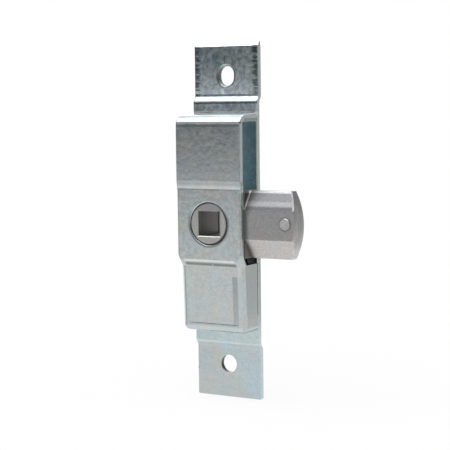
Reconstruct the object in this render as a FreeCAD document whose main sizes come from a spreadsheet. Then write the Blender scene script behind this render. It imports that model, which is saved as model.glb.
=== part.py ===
# Rim lock with a swinging bolt, worked by a loose square key.
# A joggled back plate carries a pressed case; the bolt casting turns in both, and a bow
# spring in the foot of the case holds it to the right, straight up or to the left.
# Frame: origin on the mounting plane, midway between the two fixing holes and on the
# bolt's axis. X runs to the right, Z up, and the front of the lock faces -Y.
import FreeCAD, Part
import math
import os
from types import SimpleNamespace

import Sketcher

SIZES = (
    ("lock_width", 26.4, "plate and case, side to side"),
    ("plate_thick", 2.0, "back plate sheet"),
    ("plate_corner", 0.6, "corner round at the plate's ends"),
    ("plate_edge", 0.3, "bevelled front edge round the plate"),
    ("joggle_step", 1.25, "how far the middle of the plate stands off the mounting plane"),
    ("joggle_run", 1.75, "height of each joggle's slope"),
    ("joggle_bend", 1.5, "bend radius at each joggle"),
    ("top_margin", 4.7, "top of the case, in front, to the top joggle"),
    ("foot_margin", 5.15, "foot of the case to the bottom joggle"),
    ("top_hole_in", 7.4, "top joggle to the top fixing hole"),
    ("top_hole_end", 10.9, "top fixing hole to the end of the plate"),
    ("foot_hole_in", 6.2, "bottom joggle to the bottom fixing hole"),
    ("foot_hole_end", 12.1, "bottom fixing hole to the end of the plate"),
    ("fixing_bore", 6.6, "round fixing hole at the foot"),
    ("slot_width", 6.1, "slotted fixing hole at the top"),
    ("slot_slack", 1.0, "extra height of the slotted hole"),
    ("slot_roll", 0.7, "edge rolled in by the punch round the slotted hole"),
    ("sheet_thick", 2.0, "case sheet"),
    ("top_thick", 2.25, "top wall of the case, in front"),
    ("top_rise", 0.7, "rise of the top wall from its front to the plate"),
    ("panel_proud", 0.35, "upper panel in front of the face round the hub"),
    ("crease_margin", 4.8, "hub hole up to the crease"),
    ("crease_run", 2.6, "height of the soft step above the crease"),
    ("step_margin", 0.46, "bolt's lower edge down to the end of the front wall's inner face"),
    ("step_run", 2.6, "height of the slope under the front face"),
    ("step_in", 2.05, "head of the closed box behind the front face"),
    ("foot_in", 3.1, "foot of the closed box behind the front face"),
    ("side_margin", 2.65, "bolt's lower edge down to the tops of the box's side walls"),
    ("top_bend", 4.2, "outer bend at the top of the case"),
    ("top_corner", 0.5, "inner corner at the top of the case"),
    ("box_bend", 2.0, "outer bends of the closed box"),
    ("step_round", 0.8, "edge where the front face turns into the slope"),
    ("soft_round", 5.0, "soft outer curve above the crease"),
    ("cut_round", 0.5, "rolled edge left by the press on cut sides and round the hub hole"),
    ("dish_depth", 0.35, "dish pressed into the front of the closed box"),
    ("dish_border", 2.9, "flat border beside and below the dish"),
    ("dish_head", 3.0, "head of the closed box down to the dish"),
    ("dish_slope", 2.3, "width of the slope down each side of the dish"),
    ("tenon_width", 5.0, "tenons that hold the case to the plate"),
    ("tenon_reach", 6.5, "middle of the case to each tenon"),
    ("tenon_play", 0.05, "clearance round a tenon in its slot"),
    ("head_spread", 0.7, "peened head beyond its tenon, all round"),
    ("head_clear", 0.4, "peened heads in front of the mounting plane"),
    ("head_bevel", 0.3, "bevel round a peened head"),
    ("key_square", 8.7, "square socket, across flats"),
    ("hub_wall", 1.27, "hub outside the socket's corners"),
    ("rear_wall", 0.7, "rear journal outside the socket's corners"),
    ("running_play", 0.08, "radial clearance of both journals"),
    ("rear_stand", 0.4, "rear journal behind the back of the plate"),
    ("bolt_width", 23.7, "bolt, edge to edge"),
    ("bolt_reach", 33.5, "bolt axis to the tip of the nose"),
    ("nose_margin", 2.4, "tip of the upright bolt to the top of the case, inside"),
    ("nose_radius", 25.0, "curve of the nose"),
    ("heel_depth", 9.45, "heel of the bolt, front to back"),
    ("bolt_play", 0.15, "clearance before and behind the heel"),
    ("blade_set", 2.7, "back of the blade in front of the back of the heel"),
    ("edge_thick", 3.5, "blade at its bevelled edges"),
    ("flat_width", 10.2, "flat along the middle of the blade"),
    ("shoulder_out", 0.2, "shoulders outside the case, at the front"),
    ("shoulder_draft", 0.8, "slant of the shoulders over the depth of the bevels"),
    ("heel_flat", 3.15, "half of the flat that the round corners leave on the heel"),
    ("heel_edge", 1.0, "rounded edge before and behind the heel"),
    ("cast_edge", 0.5, "rounded edges of the blade's flat and back"),
    ("nose_edge", 0.4, "rounded edges of the bevels and the nose"),
    ("hub_edge", 0.3, "bevel round the hub and at the socket's mouth"),
    ("mark_width", 4.2, "round boss near the nose"),
    ("mark_inset", 4.1, "tip of the nose back to that boss"),
    ("mark_rise", 0.6, "bolt axis up to that boss"),
    ("mark_thick", 0.35, "height of that boss"),
    ("mark_edge", 0.2, "bevel round that boss"),
    ("spring_thick", 0.7, "spring strip"),
    ("spring_side", 0.5, "clearance before and behind the spring"),
    ("spring_play", 0.05, "clearance round the spring elsewhere"),
    ("crown_in", 3.15, "flat crown of the spring inside its legs"),
    ("knee_drop", 8.0, "side wall tops down to the knees of the spring"),
    ("spring_foot", 4.5, "length of the spring's turned-in feet"),
    ("spring_bend", 0.8, "inner bends of the spring"),
)


class Length:
    """A length as a number and as the expression that works it out from the sheet."""

    def __init__(self, text, value):
        self.text = text
        self.value = value

    def __float__(self):
        return float(self.value)

    def __neg__(self):
        return Length(f"-({self.text})", -self.value)

    def __add__(self, other):
        other = length(other)
        return Length(f"({self.text} + {other.text})", self.value + other.value)

    def __sub__(self, other):
        return self + -length(other)

    def __mul__(self, other):
        other = length(other)
        return Length(f"({self.text} * {other.text})", self.value * other.value)

    def __truediv__(self, other):
        other = length(other)
        return Length(f"({self.text} / {other.text})", self.value / other.value)


def length(item):
    """Turns a plain number into a length and leaves a length as it is."""
    return item if isinstance(item, Length) else Length(str(item), item)


def diagonal(first, second):
    """Long side over two square sides."""
    total = first * first + second * second
    return Length(f"sqrt({total.text})", math.sqrt(total.value))


doc = FreeCAD.newDocument("square_key_lock")
dim = doc.addObject("Spreadsheet::Sheet", "dim")
for row, (alias, value, meaning) in enumerate(SIZES, start=1):
    dim.set(f"A{row}", meaning)
    dim.set(f"B{row}", str(value))
    dim.setAlias(f"B{row}", alias)
doc.recompute()
size = SimpleNamespace(**{alias: Length(f"dim.{alias}", value) for alias, value, _ in SIZES})

# How far a cutting outline runs past the metal that it cuts.
SPARE = 1

# Depths in front of the mounting plane.
plate_front = size.joggle_step + size.plate_thick
heel_rear = plate_front + size.bolt_play
heel_front = heel_rear + size.heel_depth
inner_front = heel_front + size.bolt_play
case_front = inner_front + size.sheet_thick
panel_front = case_front + size.panel_proud
box_head = case_front - size.step_in
box_foot = case_front - size.foot_in
blade_rear = heel_rear + size.blade_set

# Distances from the bolt's axis, sideways.
half_width = size.lock_width / 2
half_bolt = size.bolt_width / 2
socket_corner = diagonal(size.key_square, size.key_square)
hub_across = socket_corner + size.hub_wall * 2
journal_across = socket_corner + size.rear_wall * 2
hub_bore = hub_across + size.running_play * 2
rear_bore = journal_across + size.running_play * 2

# Distances from the bolt's axis, upwards.
inner_top = size.bolt_reach + size.nose_margin
case_top = inner_top + size.top_thick
top_joggle = case_top + size.top_margin
top_lug = top_joggle + size.joggle_run
fixing_reach = top_lug + size.top_hole_in
plate_top = fixing_reach + size.top_hole_end
crease = hub_bore / 2 + size.crease_margin
soft_head = crease + size.crease_run

# Distances from the bolt's axis, downwards.
foot_lug = fixing_reach - size.foot_hole_in
foot_joggle = foot_lug - size.joggle_run
plate_foot = fixing_reach + size.foot_hole_end
case_foot = foot_joggle - size.foot_margin
step_slant = diagonal(size.step_in, size.step_run)
inner_shift = size.sheet_thick * (step_slant - size.step_run) / size.step_in
inner_step = half_bolt + size.step_margin
step_drop = inner_step + inner_shift
box_drop = step_drop + size.step_run
side_drop = half_bolt + size.side_margin

# Each tenon's middle, sideways and upwards.
TENONS = [
    (across, up)
    for across in (-size.tenon_reach, size.tenon_reach)
    for up in (case_top - size.sheet_thick / 2, size.sheet_thick / 2 - case_foot)
]


def make_body(name):
    body = doc.addObject("PartDesign::Body", name)
    body.Label = name
    body.Placement = FreeCAD.Placement()
    return body


def make_sketch(body, name, role, offset=0):
    """Empty sketch on one of the body's origin planes, moved along that plane's normal."""
    sketch = body.newObject("Sketcher::SketchObject", name)
    plane = [item for item in body.Origin.OriginFeatures if item.Role == role][0]
    sketch.AttachmentSupport = [(plane, "")]
    sketch.MapMode = "FlatFace"
    sketch.setExpression("AttachmentOffset.Base.z", length(offset).text)
    return sketch


def tilt(sketch, axis, rise, run, across, up):
    """Turns a sketch about an axis of its own by the angle of a slope, about a new origin."""
    angle = Length(f"atan({(rise / run).text})", math.degrees(math.atan2(rise.value, run.value)))
    place = sketch.AttachmentOffset
    place.Rotation = FreeCAD.Rotation(axis, angle.value)
    sketch.AttachmentOffset = place
    sketch.setExpression("AttachmentOffset.Rotation.Angle", angle.text)
    sketch.setExpression("AttachmentOffset.Base.x", length(across).text)
    sketch.setExpression("AttachmentOffset.Base.y", length(up).text)


def bind(sketch, kind, amount, *where):
    """Dimensions what is drawn and ties the dimension to the sheet."""
    amount = length(amount)
    index = sketch.addConstraint(Sketcher.Constraint(kind, *where, amount.value))
    sketch.setExpression(f"Constraints[{index}]", amount.text)


def pin(sketch, geometry, point, across, up):
    """Holds one point of the sketch at a signed place measured from its origin."""
    bind(sketch, "DistanceX", across, -1, 1, geometry, point)
    bind(sketch, "DistanceY", up, -1, 1, geometry, point)


def add_polygon(sketch, corners):
    """Closed straight-sided outline through the corners."""
    first = sketch.GeometryCount
    spots = [FreeCAD.Vector(float(across), float(up), 0) for across, up in corners]
    for start, end in zip(spots, spots[1:] + spots[:1]):
        sketch.addGeometry(Part.LineSegment(start, end), False)
    for index, (across, up) in enumerate(corners):
        after = first + (index + 1) % len(corners)
        sketch.addConstraint(Sketcher.Constraint("Coincident", first + index, 2, after, 1))
        pin(sketch, first + index, 1, across, up)


def add_box(sketch, across, up, width, height):
    """Upright rectangle about a middle point."""
    left, right = length(across) - width / 2, length(across) + width / 2
    low, high = length(up) - height / 2, length(up) + height / 2
    add_polygon(sketch, ((left, low), (right, low), (right, high), (left, high)))


def add_circle(sketch, across, up, diameter):
    middle = FreeCAD.Vector(float(across), float(up), 0)
    circle = Part.Circle(middle, FreeCAD.Vector(0, 0, 1), diameter.value / 2)
    index = sketch.addGeometry(circle, False)
    pin(sketch, index, 3, across, up)
    bind(sketch, "Diameter", diameter, index)


def add_slot(sketch, up, width, slack):
    """Upright slot on the centre line: its middle's height, its width, and how far apart
    its two half circles are."""
    high, low = up + slack / 2, up - slack / 2
    radius = width / 2
    side = FreeCAD.Vector(radius.value, 0, 0)
    top = FreeCAD.Vector(0, high.value, 0)
    foot = FreeCAD.Vector(0, low.value, 0)
    normal = FreeCAD.Vector(0, 0, 1)
    ring = (
        Part.ArcOfCircle(Part.Circle(top, normal, radius.value), 0, math.pi),
        Part.LineSegment(top - side, foot - side),
        Part.ArcOfCircle(Part.Circle(foot, normal, radius.value), math.pi, 2 * math.pi),
        Part.LineSegment(foot + side, top + side),
    )
    first, left, last, right = [sketch.addGeometry(item, False) for item in ring]
    for here, after in ((first, left), (left, last), (last, right), (right, first)):
        sketch.addConstraint(Sketcher.Constraint("Tangent", here, 2, after, 1))
    pin(sketch, first, 3, 0, high)
    pin(sketch, last, 3, 0, low)
    bind(sketch, "Radius", radius, first)


def settle(feature):
    """Computes a new feature and stops the build where it fails."""
    doc.recompute()
    if "Invalid" in feature.State or feature.Shape.isNull():
        raise RuntimeError(f"{feature.Label} failed: {feature.State} {feature.getStatusString()}")


def pad(body, name, sketch, depth, midplane=False, backwards=False):
    feature = body.newObject("PartDesign::Pad", name)
    feature.Profile = sketch
    feature.setExpression("Length", depth.text)
    feature.Midplane = midplane
    feature.Reversed = backwards
    settle(feature)


def pocket(body, name, sketch, depth=None, midplane=False, backwards=False, along=None):
    """Cuts the sketch out of the body; without a depth it goes right through."""
    before = body.Shape.Volume
    feature = body.newObject("PartDesign::Pocket", name)
    feature.Profile = sketch
    if depth:
        feature.setExpression("Length", depth.text)
    else:
        feature.Type = "ThroughAll"
    if along:
        feature.UseCustomVector = True
        feature.Direction = along
    feature.Midplane = midplane
    feature.Reversed = backwards
    settle(feature)
    if body.Shape.Volume >= before:
        raise RuntimeError(f"{name} cuts nothing")


def edges(body, x, y, z):
    """Names of the body's edges within three ranges, each a low and high end or one value."""
    slack = 0.01
    ranges = [item if isinstance(item, tuple) else (item, item) for item in (x, y, z)]
    names = []
    for index, edge in enumerate(body.Shape.Edges, start=1):
        box = edge.BoundBox
        spans = ((box.XMin, box.XMax), (box.YMin, box.YMax), (box.ZMin, box.ZMax))
        if all(
            float(low) - slack <= start and end <= float(high) + slack
            for (start, end), (low, high) in zip(spans, ranges)
        ):
            names.append(f"Edge{index}")
    return names


def soften(body, kind, name, amount, names):
    """Rounds (Fillet) or bevels (Chamfer) the named edges of the body's last feature."""
    if not names:
        raise RuntimeError(f"{name} finds no edge")
    base = body.Tip
    feature = body.newObject(f"PartDesign::{kind}", name)
    feature.Base = (base, sorted(set(names)))
    feature.setExpression("Radius" if kind == "Fillet" else "Size", amount.text)
    settle(feature)


def back_plate():
    """Strip with a lug at each end and a middle that stands off the mounting plane."""
    body = make_body("back_plate")
    side = make_sketch(body, "plate_side", "YZ_Plane")
    add_polygon(side, (
        (0, -plate_foot), (0, -foot_lug), (-size.joggle_step, -foot_joggle),
        (-size.joggle_step, top_joggle), (0, top_lug), (0, plate_top),
        (-size.plate_thick, plate_top), (-size.plate_thick, top_lug), (-plate_front, top_joggle),
        (-plate_front, -foot_joggle), (-size.plate_thick, -foot_lug), (-size.plate_thick, -plate_foot),
    ))
    pad(body, "plate_strip", side, size.lock_width, midplane=True)

    across = (-half_width, half_width)
    bends = []
    for height in (top_lug, -foot_lug):
        for depth in (0, size.plate_thick):
            bends += edges(body, across, -length(depth), height)
    for height in (top_joggle, -foot_joggle):
        for depth in (size.joggle_step, plate_front):
            bends += edges(body, across, -depth, height)
    soften(body, "Fillet", "joggle_bends", size.joggle_bend, bends)
    ends = []
    for height in (plate_top, -plate_foot):
        for side_x in across:
            ends += edges(body, side_x, (-size.plate_thick, 0), height)
    soften(body, "Fillet", "plate_corners", size.plate_corner, ends)
    rim = edges(body, across, (-plate_front, -size.plate_thick), (-plate_foot, plate_top))
    soften(body, "Chamfer", "plate_rim", size.plate_edge, rim)

    holes = make_sketch(body, "plate_holes", "XZ_Plane")
    add_slot(holes, fixing_reach, size.slot_width, size.slot_slack)
    add_circle(holes, 0, -fixing_reach, size.fixing_bore)
    add_circle(holes, 0, 0, rear_bore)
    for middle, up in TENONS:
        add_box(holes, middle, up, size.tenon_width + size.tenon_play * 2,
                size.sheet_thick + size.tenon_play * 2)
    pocket(body, "plate_piercing", holes, midplane=True)
    soften(body, "Fillet", "slot_mouth", size.slot_roll,
           edges(body, across, -size.plate_thick, (top_lug, plate_top - size.plate_corner)))
    return body


def case():
    """Pressed cover: front wall and top open at the sides, with a closed box at the foot."""
    body = make_body("case")
    side = make_sketch(body, "case_side", "YZ_Plane")
    add_polygon(side, (
        (-plate_front, -case_foot), (-plate_front, case_top + size.top_rise), (-panel_front, case_top),
        (-panel_front, soft_head), (-case_front, crease), (-case_front, -step_drop),
        (-box_head, -box_drop), (-box_foot, -case_foot),
    ))
    pad(body, "case_block", side, size.lock_width, midplane=True)

    across = (-half_width, half_width)
    bends = edges(body, across, -box_foot, -case_foot)
    for side_x in across:
        bends += edges(body, side_x, (-case_front, -box_foot), (-case_foot, -step_drop))
        bends += edges(body, side_x, (-box_foot, 0), -case_foot)
    soften(body, "Fillet", "box_bends", size.box_bend, bends)
    soften(body, "Fillet", "top_bend", size.top_bend, edges(body, across, -panel_front, case_top))
    soften(body, "Fillet", "soft_step", size.soft_round, edges(body, across, -panel_front, soft_head))
    soften(body, "Fillet", "step_edge", size.step_round, edges(body, across, -case_front, -step_drop))
    rolled = []
    for side_x in across:
        rolled += edges(body, side_x, (-panel_front, -plate_front),
                        (-step_drop, case_top + size.top_rise))
    soften(body, "Fillet", "cut_sides", size.cut_round, rolled)
    press_dish(body)

    inner_slant = size.step_in / size.step_run
    mouth = size.plate_thick - plate_front
    bay = make_sketch(body, "bolt_bay", "YZ_Plane")
    add_polygon(bay, (
        (mouth, -side_drop), (mouth, inner_top), (size.sheet_thick - panel_front, inner_top),
        (size.sheet_thick - panel_front, soft_head), (-inner_front, crease), (-inner_front, -inner_step),
        ((side_drop - inner_step) * inner_slant - inner_front, -side_drop),
    ))
    pocket(body, "bolt_bay_cut", bay, midplane=True)
    soften(body, "Fillet", "inner_corner", size.top_corner,
           edges(body, across, size.sheet_thick - panel_front, inner_top))
    hollow = make_sketch(body, "spring_box", "YZ_Plane")
    add_polygon(hollow, (
        (mouth, size.sheet_thick - case_foot), (mouth, -step_drop),
        (inner_shift * inner_slant - inner_front, -step_drop),
        (size.sheet_thick - box_head, inner_shift - box_drop),
        (size.sheet_thick - box_foot, size.sheet_thick - case_foot),
    ))
    pocket(body, "spring_box_cut", hollow, size.lock_width - size.sheet_thick * 2, midplane=True)

    hub = make_sketch(body, "hub_opening", "XZ_Plane", plate_front)
    add_circle(hub, 0, 0, hub_bore)
    pocket(body, "hub_hole", hub, case_front, backwards=True)
    hole = (-hub_bore / 2, hub_bore / 2)
    soften(body, "Fillet", "hub_hole_edge", size.cut_round, edges(body, hole, -case_front, hole))
    raise_tenons(body)
    return body


def press_dish(body):
    """Shallow dish in the sloping front of the closed box: two side slopes and a flat floor."""
    rise = box_head - box_foot
    run = case_foot - box_drop
    low, high = size.dish_border - case_foot, -box_drop - size.dish_head
    middle = (low + high) / 2
    depth = box_foot + (middle + case_foot) * (rise / run)
    dish = make_sketch(body, "dish_section", "XY_Plane", middle)
    tilt(dish, FreeCAD.Vector(1, 0, 0), rise, run, 0, -depth)
    rim = half_width - size.dish_border
    floor = rim - size.dish_slope
    add_polygon(dish, (
        (-rim, -SPARE), (rim, -SPARE), (rim, 0),
        (floor, size.dish_depth), (-floor, size.dish_depth), (-rim, 0),
    ))
    pocket(body, "dish", dish, high - low, midplane=True)


def raise_tenons(body):
    """Four tenons through the plate, each peened over behind it."""
    stems = make_sketch(body, "tenon_stems", "XZ_Plane", plate_front)
    heads = make_sketch(body, "tenon_heads", "XZ_Plane", size.joggle_step)
    for across, up in TENONS:
        add_box(stems, across, up, size.tenon_width, size.sheet_thick)
        add_box(heads, across, up, size.tenon_width + size.head_spread * 2,
                size.sheet_thick + size.head_spread * 2)
    pad(body, "case_tenons", stems, size.plate_thick, backwards=True)
    pad(body, "peened_heads", heads, size.joggle_step - size.head_clear, backwards=True)
    rims = edges(body, (-half_width, half_width), -size.head_clear, (-case_foot - SPARE, case_top + SPARE))
    soften(body, "Chamfer", "head_bevels", size.head_bevel, rims)


def bolt():
    """One casting: hub with a square socket, full-depth heel and bevelled blade."""
    body = make_body("bolt")
    shoulder = half_width + size.shoulder_out
    heel = make_sketch(body, "heel_outline", "XZ_Plane", heel_rear)
    add_polygon(heel, (
        (-half_bolt, -half_bolt), (shoulder, -half_bolt), (shoulder, half_bolt), (-half_bolt, half_bolt),
    ))
    pad(body, "heel", heel, size.heel_depth)
    corners = []
    for height in (-half_bolt, half_bolt):
        corners += edges(body, -half_bolt, (-heel_front, 0), height)
    soften(body, "Fillet", "heel_corners", half_bolt - size.heel_flat, corners)
    rims = []
    for depth in (heel_front, heel_rear):
        rims += edges(body, (-half_bolt, shoulder - size.heel_edge), -depth, (-half_bolt, half_bolt))
        for height in (-half_bolt, half_bolt):
            rims += edges(body, (-half_bolt, shoulder), -depth, height)
    soften(body, "Fillet", "heel_rims", size.heel_edge, rims)
    grow_blade(body, shoulder)

    hub = make_sketch(body, "hub_outline", "XZ_Plane", heel_front)
    add_circle(hub, 0, 0, hub_across)
    pad(body, "hub", hub, case_front - heel_front)
    journal = make_sketch(body, "journal_outline", "XZ_Plane", heel_rear)
    add_circle(journal, 0, 0, journal_across)
    pad(body, "rear_journal", journal, heel_rear - size.joggle_step + size.rear_stand, backwards=True)
    mark = make_sketch(body, "mark_outline", "XZ_Plane", heel_front)
    add_circle(mark, size.bolt_reach - size.mark_inset, size.mark_rise, size.mark_width)
    pad(body, "mark", mark, size.mark_thick)
    socket = make_sketch(body, "socket_outline", "XZ_Plane")
    add_box(socket, 0, 0, size.key_square, size.key_square)
    pocket(body, "key_socket", socket, midplane=True)
    face = (-half_bolt, half_bolt)
    soften(body, "Chamfer", "hub_mouth", size.hub_edge, edges(body, face, -case_front, face))
    beside = (half_bolt, size.bolt_reach)
    soften(body, "Chamfer", "mark_rim", size.mark_edge,
           edges(body, beside, -(heel_front + size.mark_thick), face))
    return body


def grow_blade(body, shoulder):
    """Blade with a curved nose and a long bevel on each side of its flat."""
    blade = make_sketch(body, "blade_outline", "XZ_Plane", blade_rear)
    centre = size.bolt_reach - size.nose_radius
    swing = math.asin(half_bolt.value / size.nose_radius.value)
    circle = Part.Circle(FreeCAD.Vector(centre.value, 0, 0), FreeCAD.Vector(0, 0, 1), size.nose_radius.value)
    nose = blade.addGeometry(Part.ArcOfCircle(circle, -swing, swing), False)
    low, high = blade.getPoint(nose, 1), blade.getPoint(nose, 2)
    inner_high = FreeCAD.Vector(0, high.y, 0)
    inner_low = FreeCAD.Vector(0, low.y, 0)
    spots = (high, inner_high, inner_low, low)
    top, back, foot = [blade.addGeometry(Part.LineSegment(a, b), False) for a, b in zip(spots, spots[1:])]
    for here, after in ((nose, top), (top, back), (back, foot), (foot, nose)):
        blade.addConstraint(Sketcher.Constraint("Coincident", here, 2, after, 1))
    pin(blade, nose, 3, centre, 0)
    bind(blade, "Radius", size.nose_radius, nose)
    pin(blade, back, 1, 0, half_bolt)
    pin(blade, back, 2, 0, -half_bolt)
    bind(blade, "DistanceY", half_bolt, -1, 1, nose, 2)
    bind(blade, "DistanceY", -half_bolt, -1, 1, nose, 1)
    pad(body, "blade", blade, heel_front - blade_rear)

    bevel_depth = heel_front - blade_rear - size.edge_thick
    bevels = make_sketch(body, "bevel_sections", "YZ_Plane", shoulder)
    tilt(bevels, FreeCAD.Vector(0, -1, 0), size.shoulder_draft, bevel_depth, -heel_front, 0)
    edge = diagonal(bevel_depth, size.shoulder_draft)
    clear = length(-SPARE)
    for sign in (1, -1):
        line, rim = size.flat_width / 2 * sign, half_bolt * sign
        beyond = (half_bolt + SPARE) * sign
        add_polygon(bevels, ((0, line), (edge, rim), (edge, beyond), (clear, beyond), (clear, line)))
    pocket(body, "bevels", bevels, size.bolt_reach, along=FreeCAD.Vector(1, 0, 0))

    outer = (shoulder, size.bolt_reach)
    arrises = []
    for line in (size.flat_width / -2, size.flat_width / 2):
        arrises += edges(body, outer, -heel_front, line)
    soften(body, "Fillet", "blade_arrises", size.cast_edge, arrises)
    sides = (-half_bolt, half_bolt)
    soften(body, "Fillet", "blade_rear_rim", size.cast_edge, edges(body, outer, -blade_rear, sides))
    rim_depth = blade_rear + size.edge_thick
    rims = edges(body, (centre + size.nose_radius * math.cos(swing), size.bolt_reach),
                 (-heel_front, -rim_depth), sides)
    for height in sides:
        rims += edges(body, outer, -rim_depth, height)
    soften(body, "Fillet", "blade_rims", size.nose_edge, rims)


def detent_spring():
    """Bow spring: a flat crown under the heel on two legs that stand in the box."""
    body = make_body("detent_spring")
    room = box_foot - size.sheet_thick - plate_front
    sketch = make_sketch(body, "spring_outline", "XZ_Plane", plate_front + size.spring_side)
    thick = size.spring_thick
    wall = half_width - size.sheet_thick - size.spring_play
    crown = -half_bolt - size.spring_play
    knee = -side_drop - size.knee_drop
    foot = size.sheet_thick - case_foot
    shoulder = wall - size.crown_in
    convex = ((shoulder, crown), (wall, knee), (wall, foot))
    concave = ((wall - thick, foot + thick), (wall - thick, knee), (shoulder - thick / 2, crown - thick))
    toe = wall - size.spring_foot
    half_outline = (*convex, (toe, foot), (toe, foot + thick), *concave)
    add_polygon(sketch, (*half_outline, *[(-across, up) for across, up in reversed(half_outline)]))
    pad(body, "spring_strip", sketch, room - size.spring_side * 2)
    for name, radius, corners in (("outer_bends", size.spring_bend + thick, convex),
                                  ("inner_bends", size.spring_bend, concave)):
        bends = []
        for across, up in corners:
            for x in (-across, across):
                bends += edges(body, x, (-box_foot, 0), up)
        soften(body, "Fillet", name, radius, bends)
    return body


def check(pieces):
    """Stops the build on any failed feature or unsound solid."""
    doc.recompute()
    for item in doc.Objects:
        if "Invalid" in item.State or "Error" in item.State:
            raise RuntimeError(f"{item.Label} failed: {item.State}")
    for piece in pieces:
        if piece.Shape.isNull() or not piece.Shape.isValid():
            raise RuntimeError(f"{piece.Label} is not a sound solid")


pieces = [back_plate(), case(), bolt(), detent_spring()]
check(pieces)
os.makedirs("parts", exist_ok=True)
for piece in pieces:
    piece.Shape.exportStep(os.path.join("parts", f"{piece.Label}.step"))
    box = piece.Shape.BoundBox
    print(f"{piece.Label}: {piece.Shape.Volume:.1f} mm3, {len(piece.Shape.Solids)} solid, "
          f"{box.XLength:.2f} x {box.YLength:.2f} x {box.ZLength:.2f} mm")
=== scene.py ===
# %% [markdown]
# # A rim lock worked by a square key
# A rim lock is screwed to the inside of a door. This one is four pieces of metal: a back
# plate, a pressed case held to it by four peened tenons, a cast bolt that swings out of the
# case when the square key turns its hub, and a bow spring hidden in the foot of the case.
# The lesson loads those four solids as a fixed frame, sets up the camera and the light, and
# then spends most of its time on metal: zinc plating, casting, turned and worn places.

# %% Load the frame
import math

import bpy
from mathutils import Euler, Matrix, Vector


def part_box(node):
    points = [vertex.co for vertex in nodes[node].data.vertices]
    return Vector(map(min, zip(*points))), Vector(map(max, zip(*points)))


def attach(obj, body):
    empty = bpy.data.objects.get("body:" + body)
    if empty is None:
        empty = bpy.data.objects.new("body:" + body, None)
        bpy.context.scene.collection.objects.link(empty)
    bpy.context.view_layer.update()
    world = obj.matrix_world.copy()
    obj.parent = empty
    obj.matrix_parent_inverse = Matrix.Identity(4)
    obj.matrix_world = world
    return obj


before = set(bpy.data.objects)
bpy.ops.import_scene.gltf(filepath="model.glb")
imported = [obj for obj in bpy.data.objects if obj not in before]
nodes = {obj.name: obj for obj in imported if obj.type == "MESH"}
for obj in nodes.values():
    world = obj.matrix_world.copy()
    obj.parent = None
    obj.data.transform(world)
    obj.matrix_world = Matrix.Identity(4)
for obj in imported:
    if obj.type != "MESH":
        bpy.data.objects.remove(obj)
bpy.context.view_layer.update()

bpy.ops.object.select_all(action="DESELECT")
print("pieces:", ", ".join(sorted(nodes)))

# %% [markdown]
# ## Working in millimetres
# Blender's unit here is the metre, and a lock is small, so sizes read better as
# millimetres. One short helper turns them into metres. The outer places that the finishes
# need are read from the frame and not typed again.

# %% Sizes read from the frame
def mm(value):
    return value / 1000


plate_low, plate_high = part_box("back_plate")
bolt_low, bolt_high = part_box("bolt")
half_width = plate_high.x * 1000
plate_top = plate_high.z * 1000
case_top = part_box("case")[1].z * 1000
hub_face = bolt_low.y * 1000
nose_tip = bolt_high.x * 1000
print(f"plate {half_width * 2:.1f} mm wide, top at {plate_top:.1f} mm")
print(f"case top at {case_top:.1f} mm, hub face at {hub_face:.2f} mm, nose at {nose_tip:.1f} mm")

# %% [markdown]
# ## The camera
# The picture was taken from the right of the lock and a little above it, from half a metre
# away. The camera is placed by an azimuth, an elevation and a distance about a target, as
# a photographer walks round an object. Typed coordinates would do as well, but with angles
# one thing changes at a time. The slight roll is the tilt of a hand-held camera.

# %% Camera
TARGET = Vector((mm(2.579), mm(-8.0), mm(-0.851)))
AZIMUTH, ELEVATION, ROLL = (math.radians(angle) for angle in (31.07, 5.04, -0.633))
DISTANCE = mm(501.87)
LENS = 112.9

direction = Vector((
    math.sin(AZIMUTH) * math.cos(ELEVATION),
    -math.cos(AZIMUTH) * math.cos(ELEVATION),
    math.sin(ELEVATION),
))
camera_data = bpy.data.cameras.new("camera")
camera_data.lens = LENS
camera_data.clip_start = mm(10)
camera = bpy.data.objects.new("camera", camera_data)
aim = Euler((math.pi / 2 - ELEVATION, 0, AZIMUTH)).to_matrix() @ Matrix.Rotation(ROLL, 3, "Z")
camera.matrix_world = Matrix.Translation(TARGET + direction * DISTANCE) @ aim.to_4x4()
bpy.context.collection.objects.link(camera)
bpy.context.scene.camera = camera
bpy.context.scene.view_settings.view_transform = "Standard"
print("camera at", [round(c, 4) for c in camera.matrix_world.translation])

# %% [markdown]
# ## A helper for shader nodes
# Every material below is a small network of nodes. Making a node, setting its options and
# wiring its inputs takes three lines each time, so one helper does all three. A value that
# is itself a socket is linked, and anything else is set.

# %% Node helper
def wire(tree, made, wires):
    """Links an input that is given a socket, and sets one that is given a value."""
    for name, value in wires.items():
        if isinstance(value, bpy.types.NodeSocket):
            tree.links.new(value, made.inputs[name])
        else:
            made.inputs[name].default_value = value


def add_node(tree, kind, wires=None, **options):
    made = tree.nodes.new(kind)
    made.location = (len(tree.nodes) * 180, 0)
    for name, value in options.items():
        setattr(made, name, value)
    wire(tree, made, wires or {})
    return made


print("helpers: wire, add_node")

# %% [markdown]
# ## Sums, ranges and mixes
# A mask is a number from 0 to 1 that says where an effect lies. Masks are made by small
# sums on the place on the surface, so each kind of sum gets a helper of one line. A range
# turns "between 3 and 5 mm" into 0 to 1, and a mix lays one colour over another.

# %% Sums, ranges and mixes
def add_math(tree, operation, first, second=0.0, clamp=False):
    wires = {0: first, 1: second}
    return add_node(tree, "ShaderNodeMath", wires, operation=operation, use_clamp=clamp).outputs[0]


def add_times(tree, first, second):
    return add_math(tree, "MULTIPLY", first, second)


def add_vector(tree, operation, first, second=(0.0, 0.0, 0.0)):
    wires = {0: first, 1: second}
    return add_node(tree, "ShaderNodeVectorMath", wires, operation=operation).outputs


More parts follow.
